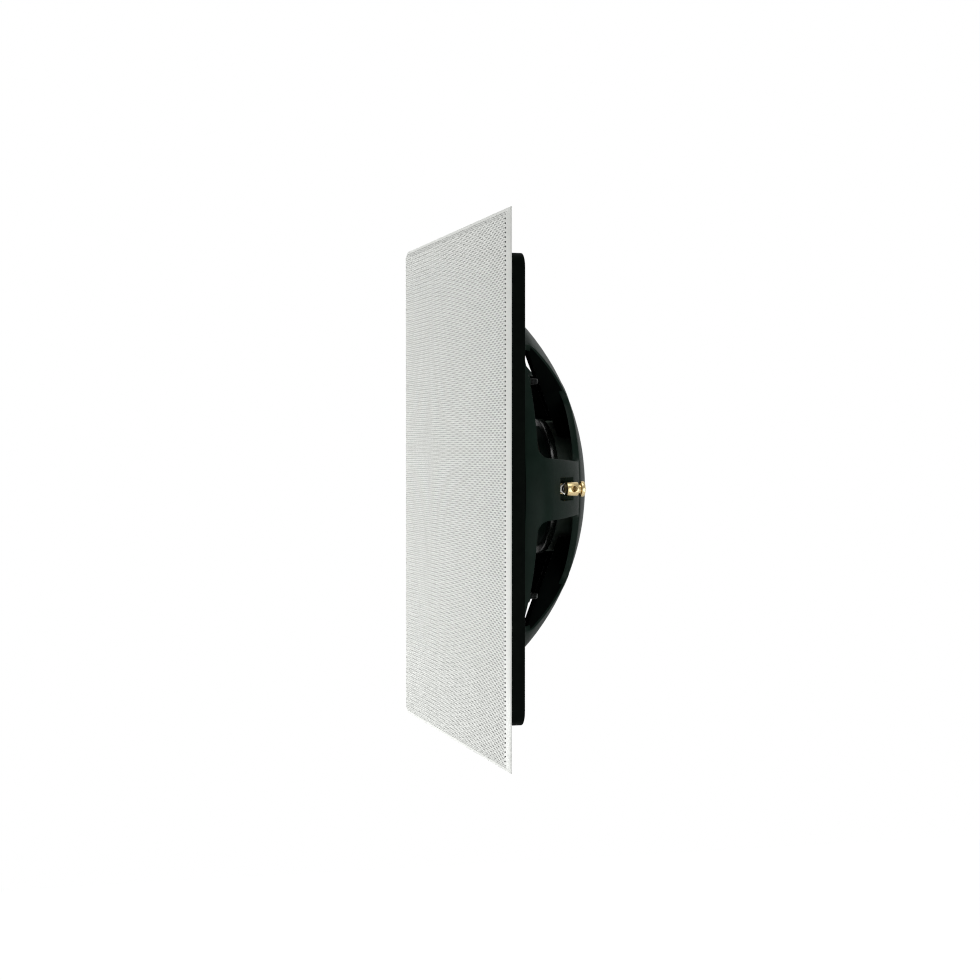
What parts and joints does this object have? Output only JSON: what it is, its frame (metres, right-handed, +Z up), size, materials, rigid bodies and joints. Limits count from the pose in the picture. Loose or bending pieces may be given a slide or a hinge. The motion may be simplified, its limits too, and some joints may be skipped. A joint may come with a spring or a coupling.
{
  "type": "in-wall speaker",
  "caption": "Rectangular in-wall speaker with a white perforated magnetic grille, black flanged frame, open six-armed basket, sprung cone and gold push terminals.",
  "frame": {"origin": "centre of the four fixing holes, on the wall plane where the flange's back rests", "axes": "+X right as seen from the room, +Y back into the wall, +Z up"},
  "size_m": [0.306, 0.0927, 0.366],
  "materials": {
    "grille_white": "satin white powder coat",
    "scrim": "thin white cloth",
    "nickel": "nickel plate",
    "frame_black": "fine matt moulding",
    "foam": "closed-cell foam",
    "basket_black": "satin black",
    "zinc": "bright zinc plate",
    "plate_black": "black phosphated steel",
    "ferrite": "dark matt ferrite",
    "spider_cloth": "resin-dipped cloth",
    "rubber": "matt rubber",
    "cone_black": "matt coated cone",
    "former": "heat-proof film",
    "copper": "enamelled winding",
    "gold": "gold plate",
    "lead": "braided tinsel wire"
  },
  "bodies": {
    "housing": {"grille": "grille_white", "grille_scrim": "scrim", "grille_magnets": "nickel", "frame": "frame_black", "driver_gasket": "foam", "basket": "basket_black", "driver_screws": "zinc", "top_plate": "plate_black", "magnet": "ferrite", "yoke": "plate_black", "spider_ring": "basket_black", "spider": "spider_cloth", "surround": "rubber", "terminal_body_positive": "gold", "terminal_body_negative": "gold", "terminal_bolts": "zinc", "terminal_nuts": "zinc", "tinsel_lead_positive": "lead", "tinsel_lead_negative": "lead"},
    "cone_assembly": {"cone": "cone_black", "dust_cap": "cone_black", "voice_coil_former": "former", "voice_coil": "copper"},
    "button_positive": {"terminal_button_positive": "gold"},
    "button_negative": {"terminal_button_negative": "gold"}
  },
  "joints": [
    {"name": "cone_travel", "type": "slide", "parent": "housing", "child": "cone_assembly", "axis": [0, 1, 0], "range_m": [-0.006, 0.006], "stiffness_N_per_m": 1500, "deforming": ["surround", "spider", "tinsel_lead_positive", "tinsel_lead_negative"]},
    {"name": "terminal_push_positive", "type": "slide", "parent": "housing", "child": "button_positive", "axis": [0, -1, 0], "range_m": [0, 0.0016], "stiffness_N_per_m": 2500},
    {"name": "terminal_push_negative", "type": "slide", "parent": "housing", "child": "button_negative", "axis": [0, -1, 0], "range_m": [0, 0.0016], "stiffness_N_per_m": 2500}
  ]
}
